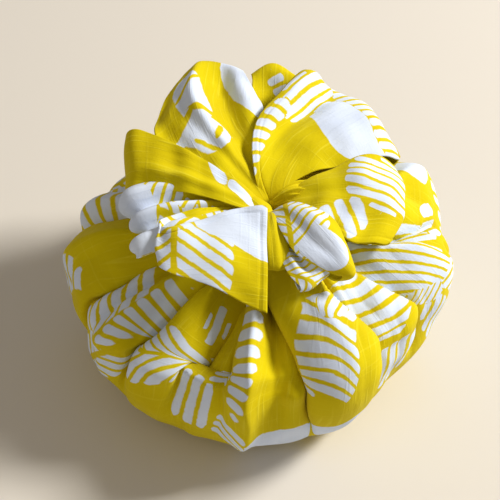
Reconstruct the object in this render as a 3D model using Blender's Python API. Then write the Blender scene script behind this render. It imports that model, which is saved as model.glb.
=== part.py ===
"""A furoshiki wrap: one square cotton cloth gathered up round a filled, round bundle.

The cloth stands on a flat base, swells to a belly, and is drawn in over the crown to a neck.
Above the neck its corners are knotted into loops that lie open like the petals of a flower,
and one hemmed corner hangs free over the front left. It is one piece of cloth, so it is one
solid: the filled bundle, with every loop joined to it at the neck.

Lengths in the tables are millimetres and angles are degrees, anticlockwise from +X.
"""

import bpy
import numpy as np

MM = 0.001

# Driving sizes.
CLOTH_THICKNESS = 1.8
BASE_REACH = 64.0
BELLY_REACH = 104.0
NECK_PLACE = (7.0, -2.0)
NECK_HEIGHT = 104.0
BELLY_HEIGHT = 57.0
LEAN_STARTS = 60.0
LOOP_FULL_REACH = 60.0

# Where the forms below fade in and out: heights or reaches for the bundle, and parts of the
# length for a strip, each as (none yet, full).
SWELL_FADE = (2.0, 30.0)
FOLDS_LEAVE_NECK = (14.0, 40.0)
FOLDS_TURN = (30.0, 100.0)
FOLD_FOOT_START = 0.4
FOLD_FOOT_LENGTH = 30.0
STRIP_FOLDS_RISE = (0.08, 0.35)
STRIP_FOLDS_FALL = (0.6, 0.75)

# How finely the surfaces are divided.
BUNDLE_AROUND = 108
BUNDLE_UP = 21
LOOP_ALONG = 17
LOOP_ACROSS = 8

CLOTH_NAME = "wrap_cloth"
COLOURS = {CLOTH_NAME: (0.72, 0.62, 0.03)}

# The bundle's outline, from the edge of the flat base up to the throat between the loops.
OUTLINE = (
    # reach, height
    (BASE_REACH, 0.0),
    (76.0, 3.0),
    (90.0, 16.0),
    (100.5, 36.0),
    (BELLY_REACH, BELLY_HEIGHT),
    (102.5, 71.0),
    (94.0, 83.0),
    (79.0, 90.5),
    (58.0, 96.5),
    (36.0, 101.0),
    (20.0, NECK_HEIGHT),
    (12.0, NECK_HEIGHT + 3.0),
    (6.0, 104.5),
    (2.0, 102.5),
)

# Where the belly is fuller or flatter than round.
SWELLS = (
    # azimuth, change of reach, spread
    (-142.0, 2.0, 16.0),
    (-112.0, -1.5, 14.0),
    (-40.0, -7.0, 14.0),
    (12.0, 3.0, 14.0),
    (45.0, -5.0, 22.0),
    (110.0, -3.0, 35.0),
)

# The bundle's folds, each a trough (positive depth) or a ridge (negative) that runs from the
# neck over the crown and down the side. The two spreads make one flank steeper.
BUNDLE_FOLDS = (
    # azimuth at the neck, at the belly, depth, spread clockwise, spread anticlockwise, lowest height
    (-93.0, -91.0, -4.5, 4.5, 3.0, 14.0),
    (-85.5, -78.0, 8.5, 5.0, 3.5, 20.0),
    (-80.0, -73.0, -3.5, 3.0, 8.0, 16.0),
    (-61.0, -55.0, -4.5, 6.0, 3.0, 30.0),
    (-56.0, -49.0, 6.5, 3.5, 4.0, 12.0),
    (-47.0, -36.0, -4.5, 6.0, 3.0, 40.0),
    (-41.0, -30.0, 7.0, 3.5, 4.0, 35.0),
    (-25.0, -8.0, -4.0, 6.0, 4.0, 35.0),
    (-17.0, 8.0, 5.0, 4.5, 4.5, 55.0),
    (8.0, 27.0, -3.5, 6.0, 5.0, 30.0),
    (24.0, 40.0, 5.0, 5.0, 5.0, 25.0),
    (48.0, 55.0, -3.0, 6.0, 5.0, 30.0),
    (66.0, 71.0, 5.0, 5.0, 5.0, 25.0),
    (84.0, 86.0, -3.0, 6.0, 5.0, 30.0),
    (103.0, 102.0, 5.5, 5.0, 5.0, 25.0),
    (121.0, 118.0, -3.0, 6.0, 5.0, 30.0),
    (138.0, 134.0, 5.0, 5.0, 5.0, 25.0),
    (160.0, 151.0, 5.5, 4.0, 3.5, 60.0),
    (172.0, 163.0, -4.0, 5.0, 4.0, 30.0),
    (181.0, 174.0, 6.5, 3.5, 3.5, 40.0),
    (188.0, 183.0, -4.0, 4.0, 8.0, 25.0),
    (-157.0, -156.0, -5.0, 7.0, 3.5, 30.0),
    (-150.5, -150.0, 5.5, 3.5, 3.0, 35.0),
    (-145.5, -145.5, -2.5, 3.5, 3.0, 40.0),
    (-140.0, -140.5, 4.5, 3.0, 3.0, 40.0),
    (-134.0, -135.0, -4.0, 4.0, 3.0, 30.0),
    (-127.0, -129.0, 5.0, 3.5, 3.0, 40.0),
    (-109.0, -124.0, 9.0, 4.0, 5.0, 45.0),
    (-113.0, -115.0, -4.5, 4.0, 5.0, 35.0),
    (-102.0, -106.0, 7.0, 8.0, 6.0, 55.0),
)

# The loops. Each row of stations is one section of the cloth as it leaves the neck, runs out,
# turns over the rim and comes back underneath. Each row of folds is a ridge (positive lift)
# or a trough that runs along the loop; place and spread are parts of its half width.
LOOPS = {
    "back_left": {
        "azimuth": 113.0,
        "yaw": 2.0,
        "round": 9.0,
        "stations": (
            # reach, height, half width, lean, droop of the edges, swing of the azimuth
            (2.0, 103.0, 4.0, 0.0, 0.0, 0.0),
            (12.0, 112.0, 7.0, -4.0, 1.0, 4.0),
            (32.0, 119.0, 16.0, -8.0, 3.0, 1.0),
            (55.0, 123.0, 25.0, -11.0, 6.0, 0.0),
            (78.0, 123.0, 31.0, -13.0, 8.0, 1.0),
            (93.0, 118.5, 31.0, -13.0, 7.0, 2.0),
            (98.0, 110.0, 28.0, -10.0, 4.0, 2.0),
            (92.0, 101.5, 24.0, -8.0, 0.0, 1.0),
            (70.0, 101.5, 18.0, -4.0, 0.0, 0.0),
            (40.0, 104.5, 11.0, 0.0, 0.0, 0.0),
            (8.0, 102.5, 4.0, 0.0, 0.0, 0.0),
        ),
        "folds": (
            # place, lift, spread
            (0.22, 7.0, 0.24),
            (-0.3, -7.0, 0.28),
            (-0.8, 3.0, 0.2),
            (0.7, -4.0, 0.2),
        ),
    },
    "back": {
        "azimuth": 88.0,
        "yaw": 0.0,
        "round": 4.0,
        "stations": (
            (8.0, 107.0, 4.0, 0.0, 0.0, 0.0),
            (40.0, 106.5, 7.0, 0.0, -1.0, 0.0),
            (64.0, 104.5, 9.0, 0.0, -3.0, 0.0),
            (82.0, 107.0, 12.0, 0.0, -4.0, 0.0),
            (94.0, 115.5, 12.5, 0.0, 2.0, 0.0),
            (100.0, 113.0, 13.0, 0.0, 3.0, 0.0),
            (100.0, 103.0, 12.0, 0.0, 1.0, 0.0),
            (88.0, 96.0, 10.0, 0.0, 0.0, 0.0),
            (55.0, 99.5, 6.0, 0.0, 0.0, 0.0),
            (8.0, 101.5, 4.0, 0.0, 0.0, 0.0),
        ),
        "folds": (),
    },
    "back_right": {
        "azimuth": 53.0,
        "yaw": -12.0,
        "round": 5.0,
        "stations": (
            (2.0, 103.0, 4.0, 0.0, 0.0, 12.0),
            (14.0, 111.0, 7.0, 5.0, 0.0, 14.0),
            (38.0, 115.0, 18.0, 8.0, 0.0, 8.0),
            (58.0, 117.0, 27.0, 10.0, 1.0, 3.0),
            (73.0, 117.0, 32.0, 10.0, 3.0, 0.0),
            (83.0, 112.5, 33.0, 9.0, 4.0, -1.0),
            (87.0, 105.0, 31.0, 5.0, 3.0, -1.0),
            (82.0, 98.5, 28.0, 2.0, 0.0, -1.0),
            (66.0, 99.5, 21.0, 0.0, 0.0, 0.0),
            (38.0, 103.0, 12.0, 0.0, 0.0, 0.0),
            (8.0, 102.5, 4.0, 0.0, 0.0, 0.0),
        ),
        "folds": (
            (0.9, 4.5, 0.2),
            (0.42, -6.0, 0.3),
            (-0.35, 2.0, 0.3),
        ),
    },
    "right": {
        "azimuth": -4.0,
        "yaw": -8.0,
        "round": 5.0,
        "stations": (
            (2.0, 102.0, 4.0, 0.0, 0.0, 0.0),
            (13.0, 110.0, 8.0, 4.0, 1.0, 2.0),
            (30.0, 115.0, 18.0, 6.0, 3.0, 1.0),
            (45.0, 114.5, 26.0, 7.0, 4.0, 1.0),
            (57.0, 111.5, 27.0, 6.0, 4.0, 3.0),
            (64.0, 105.5, 26.0, 4.0, 2.0, 4.0),
            (59.0, 99.5, 22.0, 1.0, 0.0, 3.0),
            (40.0, 102.5, 14.0, 0.0, 0.0, 0.0),
            (8.0, 102.0, 4.0, 0.0, 0.0, 0.0),
        ),
        "folds": (
            (0.75, 3.5, 0.22),
            (0.2, -3.5, 0.3),
            (-0.4, 3.5, 0.25),
        ),
    },
    "front_right": {
        "azimuth": -57.0,
        "yaw": 8.0,
        "round": 3.0,
        "stations": (
            (2.0, 102.0, 4.0, 0.0, 0.0, 0.0),
            (10.0, 112.0, 6.0, 4.0, 1.0, 6.0),
            (24.0, 117.0, 12.0, 6.0, 2.0, 5.0),
            (38.0, 117.0, 16.0, 6.0, 3.0, 3.0),
            (49.0, 112.5, 17.0, 5.0, 3.0, 3.0),
            (54.0, 106.5, 16.0, 2.0, 1.0, 3.0),
            (48.0, 102.0, 13.0, 0.0, 0.0, 2.0),
            (30.0, 104.5, 8.0, 0.0, 0.0, 0.0),
            (8.0, 102.0, 4.0, 0.0, 0.0, 0.0),
        ),
        "folds": (
            (0.45, 2.5, 0.28),
            (-0.15, -3.0, 0.3),
        ),
    },
    "front": {
        "azimuth": -85.0,
        "yaw": 0.0,
        "round": 1.0,
        "stations": (
            (2.0, 102.0, 3.0, 0.0, 0.0, 0.0),
            (12.0, 111.0, 5.0, 0.0, 1.0, 0.0),
            (26.0, 112.5, 6.0, 0.0, 1.0, 0.0),
            (40.0, 109.5, 7.0, 0.0, 1.0, 0.0),
            (46.0, 105.0, 7.0, 0.0, 1.0, 0.0),
            (40.0, 102.5, 6.0, 0.0, 0.0, 0.0),
            (8.0, 102.0, 3.0, 0.0, 0.0, 0.0),
        ),
        "folds": (),
    },
    "left": {
        "azimuth": 165.0,
        "yaw": 6.0,
        "round": 2.0,
        "stations": (
            (4.0, 104.0, 4.0, 0.0, 0.0, 24.0),
            (14.0, 114.0, 7.0, -10.0, 0.0, 22.0),
            (38.0, 119.5, 12.0, -18.0, 1.0, 6.0),
            (58.0, 120.0, 17.0, -24.0, 1.0, 1.0),
            (71.0, 117.5, 18.0, -25.0, 1.0, 0.0),
            (77.0, 110.5, 17.0, -18.0, 1.0, 0.0),
            (72.0, 103.0, 14.0, -10.0, 0.0, 0.0),
            (48.0, 102.5, 10.0, 0.0, 0.0, 0.0),
            (8.0, 103.0, 4.0, 0.0, 0.0, 0.0),
        ),
        "folds": ((0.35, 2.5, 0.3),),
    },
}

# The free corner: it leaves the neck to the left, turns back on itself and ends in a hem.
FREE_CORNER = {
    "stations": (
        # x, y, height, half width, heading of the width, lean, droop and set-back of the edges
        (-1.0, -7.0, 106.0, 4.0, 104.0, 10.0, 0.0, 0.0),
        (-12.0, -9.0, 108.0, 8.0, 104.0, 18.0, 0.0, 0.0),
        (-34.0, -11.0, 107.5, 13.0, 103.0, 20.0, 0.0, 0.0),
        (-54.0, -14.0, 105.5, 15.0, 104.0, 16.0, 1.0, 0.0),
        (-62.0, -21.0, 108.0, 14.0, 102.0, 15.0, 1.0, 0.0),
        (-53.0, -28.0, 113.5, 13.0, 97.0, 20.0, 1.0, 0.0),
        (-32.0, -36.0, 117.0, 15.0, 90.0, 27.0, 2.0, 0.0),
        (-11.0, -43.0, 117.0, 23.0, 90.0, 27.0, 2.0, 0.0),
        (5.0, -47.0, 114.5, 27.0, 90.0, 26.0, 0.0, 0.0),
    ),
    "folds": ((0.1, 1.5, 0.5),),
}


def smooth_rows(rows, count):
    """Reads count rows from a smooth curve through the given ones (Catmull-Rom)."""
    rows = np.array(rows, float)
    padded = np.vstack([2 * rows[0] - rows[1], rows, 2 * rows[-1] - rows[-2]])
    place = np.linspace(0, len(rows) - 1, count)
    start = np.minimum(place.astype(int), len(rows) - 2)
    part = (place - start)[:, None]
    before, here, after, beyond = (padded[start + step] for step in range(4))
    return 0.5 * (
        2 * here
        + (after - before) * part
        + (2 * before - 5 * here + 4 * after - beyond) * part**2
        + (3 * here - before - 3 * after + beyond) * part**3
    )


def smooth_step(values, low, high):
    """0 below low, 1 above high, and smooth between."""
    part = np.clip((values - low) / (high - low), 0, 1)
    return part * part * (3 - 2 * part)


def turn_between(angles, middle):
    """How far each angle lies anticlockwise of middle, from -180 to 180."""
    return (angles - middle + 180) % 360 - 180


def bundle_points():
    """Rings of points up the filled bundle, as rings x around x 3.

    A ring's point is centre + (reach + push * out) * (cos a, sin a), where push is the sum of
    the folds, and out and up are the parts of the outline's normal."""
    reach, height = smooth_rows(OUTLINE, BUNDLE_UP).T
    run, rise = np.gradient(reach), np.gradient(height)
    length = np.hypot(run, rise)
    out, up = rise / length, -run / length
    azimuth = np.linspace(0, 360, BUNDLE_AROUND, endpoint=False)

    reach, height, out, up = (value[:, None] for value in (reach, height, out, up))
    push = np.zeros((BUNDLE_UP, BUNDLE_AROUND))
    for middle, change, spread in SWELLS:
        off = turn_between(azimuth, middle)
        push += change * np.exp(-((off / spread) ** 2)) * smooth_step(height, *SWELL_FADE)
    off_neck = smooth_step(reach, *FOLDS_LEAVE_NECK)
    for at_neck, at_belly, depth, clockwise, anticlockwise, lowest in BUNDLE_FOLDS:
        middle = at_neck + turn_between(at_belly, at_neck) * smooth_step(reach, *FOLDS_TURN)
        middle = np.where(height < BELLY_HEIGHT, at_belly, middle)
        off = turn_between(azimuth, middle)
        spread = np.where(off < 0, clockwise, anticlockwise)
        foot = smooth_step(height, lowest * FOLD_FOOT_START, lowest + FOLD_FOOT_LENGTH)
        push -= depth * np.exp(-((off / spread) ** 2)) * off_neck * foot

    lean = smooth_step(height, LEAN_STARTS, NECK_HEIGHT)
    angle = np.radians(azimuth)
    return np.stack(
        [
            NECK_PLACE[0] * lean + (reach + push * out) * np.cos(angle),
            NECK_PLACE[1] * lean + (reach + push * out) * np.sin(angle),
            np.maximum(height + push * up, 0) * np.ones_like(angle),
        ],
        axis=-1,
    )


def strip_points(stations, folds):
    """The middle surface of a strip of cloth, as along x across x 3.

    A section is middle + half width * t * cross + normal * (folds - droop * t ** 2)
    - outward * set-back * t ** 2, with t from -1 to 1. The folds are full on the upper side
    and fade where the strip turns under."""
    rows = smooth_rows(stations, LOOP_ALONG)
    middle = rows[:, :3]
    half_width, heading, lean, droop, set_back = rows[:, 3:].T
    heading, lean = np.radians(heading), np.radians(lean)
    cross = np.stack(
        [np.cos(heading) * np.cos(lean), np.sin(heading) * np.cos(lean), np.sin(lean)], axis=-1
    )
    normal = np.cross(np.gradient(middle, axis=0), cross)
    normal /= np.linalg.norm(normal, axis=-1, keepdims=True)
    t = np.linspace(-1, 1, LOOP_ACROSS)
    along = np.linspace(0, 1, LOOP_ALONG)
    strength = smooth_step(along, *STRIP_FOLDS_RISE) * (1 - smooth_step(along, *STRIP_FOLDS_FALL))
    lift = -droop[:, None] * t**2
    for place, height, spread in folds:
        lift = lift + height * strength[:, None] * np.exp(-(((t - place) / spread) ** 2))
    width = half_width[:, None, None] * t[None, :, None] * cross[:, None, :]
    outward = np.stack([np.sin(heading), -np.cos(heading), np.zeros_like(heading)], axis=-1)
    back = -outward[:, None, :] * (set_back[:, None] * t**2)[..., None]
    return middle[:, None, :] + width + back + normal[:, None, :] * lift[..., None]


def radial_stations(loop):
    """Turns a loop's rows, given by reach from the neck, into a strip's stations. The yaw turns
    the rim, so that one side of the loop reaches further than the other, and the round sets
    both ends of the rim back."""
    stations = []
    for reach, height, half_width, lean, droop, swing in loop["stations"]:
        azimuth = loop["azimuth"] + swing
        angle = np.radians(azimuth)
        x = NECK_PLACE[0] + reach * np.cos(angle)
        y = NECK_PLACE[1] + reach * np.sin(angle)
        share = min(reach / LOOP_FULL_REACH, 1)
        heading = azimuth + 90 + loop["yaw"] * share
        stations.append((x, y, height, half_width, heading, lean, droop, loop["round"] * share))
    return stations


def mesh_object(name, points, faces, collection):
    mesh = bpy.data.meshes.new(name)
    mesh.from_pydata((points * MM).tolist(), [], faces)
    mesh.validate()
    mesh.update()
    made = bpy.data.objects.new(name, mesh)
    collection.objects.link(made)
    return made


def bundle():
    """The filled bundle: its rings, joined by quads and closed at the base and in the throat."""
    points = bundle_points()
    first_top = (BUNDLE_UP - 1) * BUNDLE_AROUND
    faces = []
    for ring in range(BUNDLE_UP - 1):
        for step in range(BUNDLE_AROUND):
            here = ring * BUNDLE_AROUND + step
            beside = ring * BUNDLE_AROUND + (step + 1) % BUNDLE_AROUND
            faces.append((here, beside, beside + BUNDLE_AROUND, here + BUNDLE_AROUND))
    faces.append(tuple(reversed(range(BUNDLE_AROUND))))
    faces.append(tuple(range(first_top, first_top + BUNDLE_AROUND)))
    return mesh_object(CLOTH_NAME, points.reshape(-1, 3), faces, bpy.context.scene.collection)


def add_strip(name, stations, folds, collection):
    """A strip of cloth: its middle surface, thickened to the cloth's thickness."""
    points = strip_points(stations, folds)
    faces = []
    for row in range(LOOP_ALONG - 1):
        for column in range(LOOP_ACROSS - 1):
            here = row * LOOP_ACROSS + column
            faces.append((here, here + 1, here + LOOP_ACROSS + 1, here + LOOP_ACROSS))
    made = mesh_object(name, points.reshape(-1, 3), faces, collection)
    thicken = made.modifiers.new("thickness", "SOLIDIFY")
    thicken.thickness = CLOTH_THICKNESS * MM
    thicken.offset = 0
    made.hide_render = True
    made.display_type = "WIRE"


def material(name):
    made = bpy.data.materials.new(name)
    made.use_nodes = True
    shader = made.node_tree.nodes["Principled BSDF"]
    shader.inputs["Base Color"].default_value = (*COLOURS[name], 1)
    shader.inputs["Roughness"].default_value = 0.85
    shader.inputs["Metallic"].default_value = 0
    return made


def main():
    for old in list(bpy.data.objects):
        bpy.data.objects.remove(old)
    cloth = bundle()
    loops = bpy.data.collections.new("loops")
    bpy.context.scene.collection.children.link(loops)
    for name, loop in LOOPS.items():
        add_strip(name, radial_stations(loop), loop["folds"], loops)
    add_strip("free_corner", FREE_CORNER["stations"], FREE_CORNER["folds"], loops)
    union = cloth.modifiers.new("loops", "BOOLEAN")
    union.operation = "UNION"
    union.operand_type = "COLLECTION"
    union.collection = loops
    cloth.data.materials.append(material(CLOTH_NAME))
    cloth.data.shade_smooth()


main()
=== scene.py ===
# %% [markdown]
# # A furoshiki wrap in printed slub cotton
#
# A furoshiki is one square cloth. Here it is gathered up round a round bundle, drawn in to a
# neck and knotted, and its corners are opened into loops that lie like petals. Everything you
# see is the same sheet, so every piece below shares one material and one way of being made: a
# surface worked out from two parameters, with its folds added as troughs and ridges.
#
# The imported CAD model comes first. It is a fixed frame: the cloth made here takes the place of
# its one solid.

# %% Load the frame
from collections import namedtuple

import bmesh
import bpy
import numpy as np
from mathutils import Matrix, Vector


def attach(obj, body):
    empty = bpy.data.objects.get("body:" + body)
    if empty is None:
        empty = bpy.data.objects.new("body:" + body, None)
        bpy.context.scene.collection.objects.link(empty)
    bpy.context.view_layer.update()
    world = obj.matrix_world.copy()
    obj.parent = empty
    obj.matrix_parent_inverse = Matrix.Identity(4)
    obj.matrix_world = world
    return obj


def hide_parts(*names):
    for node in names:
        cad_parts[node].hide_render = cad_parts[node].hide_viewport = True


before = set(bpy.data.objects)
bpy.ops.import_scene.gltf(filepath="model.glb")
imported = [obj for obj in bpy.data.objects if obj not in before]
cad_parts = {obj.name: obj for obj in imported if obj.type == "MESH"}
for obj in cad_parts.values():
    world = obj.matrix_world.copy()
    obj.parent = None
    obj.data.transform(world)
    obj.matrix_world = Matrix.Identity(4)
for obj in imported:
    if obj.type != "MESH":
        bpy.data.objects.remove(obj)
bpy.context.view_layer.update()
CLOTH_NODE = "wrap_cloth"

# %% [markdown]
# ## Sizes
#
# The tables follow the solid's outline, folds and loops in millimetres and degrees, with some
# folds deeper and more small ones, and one factor turns the finished points into metres. The
# cloth is a square of 0.70 m, about 0.9 mm thick where folding has fluffed it up, with a turned
# hem 3.2 mm wide.

# %% Driving sizes
MM = 0.001
CLOTH_THICKNESS = 0.9
HEM_WIDTH = 3.2
BASE_REACH = 64.0
BELLY_REACH = 104.0
BELLY_HEIGHT = 57.0
NECK_PLACE = (7.0, -2.0)
NECK_HEIGHT = 104.0
print("the belly is", 2 * BELLY_REACH, "mm across, and the neck is", NECK_HEIGHT, "mm up")

# %% [markdown]
# ## Helpers for curves, fades and noise
#
# A Catmull-Rom curve passes through every row of a table, so each row stays a size you can
# read. The soft noise is a seeded sum of sine waves: it never repeats at this scale, and it is
# the same on every run.

# %% Curves and fades


def smooth_rows(rows, count):
    """Count rows on a smooth curve through the given ones: with p the part of the way from one
    row to the next, a cubic in p whose slope at each row is half the step across it."""
    rows = np.array(rows, float)
    padded = np.vstack([2 * rows[0] - rows[1], rows, 2 * rows[-1] - rows[-2]])
    place = np.linspace(0, len(rows) - 1, count)
    start = np.minimum(place.astype(int), len(rows) - 2)
    part = (place - start)[:, None]
    before, here, after, beyond = (padded[start + step] for step in range(4))
    return 0.5 * (
        2 * here
        + (after - before) * part
        + (2 * before - 5 * here + 4 * after - beyond) * part**2
        + (3 * here - before - 3 * after + beyond) * part**3
    )


def path_length(points):
    """Distance along a line of points, from its first."""
    steps = np.linalg.norm(np.diff(points, axis=0), axis=-1)
    return np.concatenate([[0], np.cumsum(steps)])


def smooth_step(values, low, high):
    """0 below low, 1 above high, and 3p^2 - 2p^3 between, with p the part of the way."""
    part = np.clip((values - low) / (high - low), 0, 1)
    return part * part * (3 - 2 * part)


def turn_between(angles, middle):
    """How far each angle lies anticlockwise of middle, from -180 to 180."""
    return (angles - middle + 180) % 360 - 180


print("a quarter of the way into a fade:", smooth_step(0.25, 0, 1))


# %% Soft noise
WAVE_SPAN = (0.6, 1.7)


def soft_noise(x, y, wavelength, seed, waves=14):
    """The sum of plane sine waves of random heading, phase and length, scaled to about -1 to 1."""
    random = np.random.default_rng(seed)
    total = np.zeros(np.broadcast(x, y).shape)
    for _ in range(waves):
        heading, phase = random.uniform(0, 2 * np.pi, 2)
        pitch = wavelength * random.uniform(*WAVE_SPAN)
        total += np.sin(2 * np.pi * (x * np.cos(heading) + y * np.sin(heading)) / pitch + phase)
    return total / np.sqrt(waves)


print("noise at two places:", soft_noise(np.array([0.0, 5.0]), 0.0, 20.0, seed=1))


# %% [markdown]
# ## The print
#
# The cloth is printed with broad leaves of parallel strokes on a yellow ground. A gathered cloth
# shows scraps of many leaves, each turned its own way, so the tables below lay one leaf at a
# time on each piece: where its middle is, which way its rib points, how large and how wide it
# is, and what fills its left and right half. A leaf in the upper layer covers what is under it,
# and one with two bare halves only clears the ground, where a fold has tucked the print away.
#
# On the bundle a place is (azimuth, millimetres up the outline from the base). On a strip it is
# (millimetres to the left of its middle line, millimetres along it from the neck). A leaf on the
# bundle may end with a stretch. Beside an overhanging lip a degree takes up that many times more
# cloth than on a plain circle, and the stretch keeps the strokes there at their real width.

# %% Where the leaves lie
Leaf = namedtuple(
    "Leaf",
    "layer across along heading pitch half_length half_width left_fill right_fill stretch",
    defaults=[1.0],
)
BARS, SOLID, BARE, CROSS = range(4)
HALF_FILLS = 4
UNDER, OVER = range(2)
LAYER_NAMES = ("under", "over")

LEAVES = {
    # layer, across, along, heading of the rib, pitch of the strokes, half length, half width,
    # left half, right half, and a stretch where it is not 1
    "bundle": (
        (UNDER, -145.0, 108.0, 88.0, 11.5, 36.0, 34.0, BARS, BARE),
        (OVER, -143.7, 112.0, 91.0, 8.5, 34.0, 4.2, CROSS, CROSS),
        (UNDER, -128.0, 98.0, 199.0, 8.0, 24.0, 25.0, BARS, BARS),
        (UNDER, -111.0, 68.0, -8.0, 8.5, 12.5, 21.0, CROSS, CROSS),
        (OVER, -122.5, 138.0, 4.0, 6.5, 6.8, 12.0, CROSS, CROSS, 3.2),
        (UNDER, -102.5, 99.0, 84.0, 8.0, 15.0, 7.5, CROSS, CROSS),
        (UNDER, -98.5, 54.0, 75.0, 6.5, 11.0, 9.0, CROSS, CROSS),
        (OVER, -95.5, 112.0, 91.0, 10.0, 42.0, 4.0, CROSS, CROSS),
        (UNDER, -84.0, 38.0, 0.0, 8.0, 22.0, 20.0, SOLID, SOLID),
        (UNDER, -62.0, 46.0, 15.0, 8.0, 15.0, 12.0, SOLID, SOLID),
        (UNDER, -71.5, 110.0, -85.0, 8.4, 36.0, 40.0, BARS, BARE, 2.3),
        (OVER, -64.3, 138.0, -15.0, 6.5, 10.0, 7.5, CROSS, CROSS, 2.3),
        (UNDER, -53.0, 118.0, -74.0, 9.6, 30.0, 27.0, BARS, BARE),
        (UNDER, -42.0, 66.0, -5.0, 7.0, 17.0, 24.0, CROSS, CROSS),
        (UNDER, -20.0, 124.0, 22.0, 4.2, 15.0, 36.0, CROSS, CROSS),
        (UNDER, -23.0, 102.0, 129.0, 5.0, 20.0, 7.0, CROSS, CROSS),
        (UNDER, -2.0, 128.0, 21.0, 6.0, 12.0, 20.0, CROSS, CROSS),
        (UNDER, 8.0, 106.0, 21.0, 9.0, 12.0, 8.0, CROSS, CROSS),
        (UNDER, -8.0, 62.0, -60.0, 8.5, 40.0, 24.0, BARS, BARS),
        (UNDER, 27.0, 112.0, 60.0, 9.0, 11.0, 9.0, SOLID, SOLID),
        (UNDER, 20.0, 60.0, 40.0, 8.5, 44.0, 26.0, BARS, BARS),
        (UNDER, 168.0, 108.0, 90.0, 11.0, 26.0, 22.0, CROSS, CROSS),
        (UNDER, -147.0, 66.0, 55.0, 8.0, 20.0, 13.0, BARS, BARS),
        (UNDER, -172.0, 58.0, 70.0, 9.0, 40.0, 22.0, BARS, BARE),
        (UNDER, 150.0, 78.0, 110.0, 9.5, 52.0, 30.0, BARS, BARS),
        (UNDER, 118.0, 104.0, -70.0, 9.0, 50.0, 32.0, SOLID, BARS),
        (UNDER, 92.0, 62.0, 30.0, 9.0, 54.0, 32.0, BARS, BARS),
        (UNDER, 72.0, 116.0, 95.0, 9.0, 46.0, 30.0, BARS, BARS),
        (UNDER, 50.0, 62.0, -40.0, 9.0, 50.0, 30.0, BARS, BARS),
    ),
    "back_left": (
        (UNDER, 7.5, 76.0, 76.0, 9.0, 20.0, 8.0, SOLID, SOLID),
        (UNDER, 8.0, 50.0, 22.0, 9.0, 14.5, 10.0, SOLID, SOLID),
        (UNDER, -20.0, 84.0, 68.0, 8.0, 28.0, 7.0, SOLID, SOLID),
        (OVER, 9.5, 83.0, 131.0, 9.0, 10.0, 1.6, BARE, BARE),
        (OVER, 14.0, 61.5, 148.0, 9.0, 9.0, 1.9, BARE, BARE),
        (OVER, 0.0, 62.0, 27.0, 9.0, 11.0, 1.9, BARE, BARE),
        (OVER, 8.0, 44.0, 57.0, 9.0, 8.0, 1.4, BARE, BARE),
        (OVER, 14.0, 44.0, 60.0, 9.0, 9.0, 1.4, BARE, BARE),
        (OVER, -1.0, 49.0, 124.0, 9.0, 6.0, 1.7, BARE, BARE),
    ),
    "tuck": ((UNDER, 0.0, 50.0, 60.0, 7.0, 34.0, 20.0, BARS, BARS),),
    "back": ((UNDER, -4.0, 78.0, 60.0, 6.5, 12.0, 5.0, CROSS, CROSS),),
    "back_right": (
        (UNDER, -11.0, 77.0, 201.0, 7.0, 24.0, 23.0, SOLID, SOLID),
        (OVER, -10.0, 92.0, 190.0, 6.5, 34.0, 11.0, CROSS, CROSS),
        (OVER, 17.5, 36.0, 78.0, 7.0, 32.0, 4.5, CROSS, CROSS),
        (OVER, 21.0, 73.0, -11.0, 4.8, 10.0, 22.0, CROSS, CROSS),
    ),
    "right": (
        (UNDER, 8.0, 64.0, 195.0, 5.5, 17.0, 25.0, CROSS, CROSS),
        (OVER, -18.0, 36.0, 57.0, 7.5, 19.0, 13.0, CROSS, CROSS),
    ),
    "front_right": (
        (UNDER, -5.0, 25.0, 300.0, 6.0, 24.0, 22.0, BARS, BARS),
        (OVER, -2.0, 50.0, 78.0, 6.0, 13.0, 8.5, SOLID, SOLID),
    ),
    "curl": ((UNDER, -6.0, 50.0, 60.0, 4.5, 24.0, 14.0, BARS, BARS),),
    "front": (),
    "left": (
        (UNDER, -8.0, 28.0, 150.0, 8.0, 7.0, 4.5, SOLID, SOLID),
        (UNDER, -1.0, 15.0, 120.0, 8.0, 8.0, 4.0, SOLID, SOLID),
    ),
    "ruffle": (
        (UNDER, -9.0, 50.0, 135.0, 4.6, 22.0, 8.0, CROSS, CROSS),
        (UNDER, 4.0, 46.0, 113.0, 6.0, 32.0, 11.0, BARS, BARS),
        (OVER, -8.0, 66.0, 90.0, 6.0, 11.0, 14.0, SOLID, SOLID),
        (OVER, 14.0, 62.0, 90.0, 6.0, 13.0, 7.0, SOLID, SOLID),
    ),
    "free_corner": (
        (UNDER, 2.0, 66.0, 178.0, 7.4, 38.0, 29.0, BARS, BARS),
        (OVER, 16.0, 100.0, 112.0, 8.0, 28.0, 14.5, SOLID, SOLID),
    ),
    "knot": (),
}
print("leaves laid", sum(len(rows) for rows in LEAVES.values()))

# %% [markdown]
# ## From a grid of points to a mesh
#
# A grid surface has a quad between each four neighbours. Each face asks which leaf's outline it
# lies in and takes that leaf's own frame for its UV map, so the pattern stays at its real size
# in millimetres however the cloth turns. There are two such maps, one for each layer. A face in
# no leaf gets a place far outside a tiny leaf, so it stays bare.

# %% The print's maps
STROKE_PITCH = 0.0088
LEAF_MARGIN = 1.3
OUTLINE_POWERS = (4, 2)
BARE_PLACE, BARE_SIZE = 0.4, 0.001


def leaf_frame(places, leaf, around_scale):
    """Places on the cloth in a leaf's own frame, in metres drawn to the standard pitch: x along
    its rib and y to its left. Round the bundle the scale turns degrees into millimetres."""
    if around_scale is None:
        off = places[..., 0] - leaf.across
    else:
        off = turn_between(places[..., 0], leaf.across) * around_scale * leaf.stretch
    up = places[..., 1] - leaf.along
    angle = np.radians(leaf.heading)
    rib = off * np.cos(angle) + up * np.sin(angle)
    side = -off * np.sin(angle) + up * np.cos(angle)
    return np.stack([rib, side], axis=-1) * STROKE_PITCH / leaf.pitch


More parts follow.
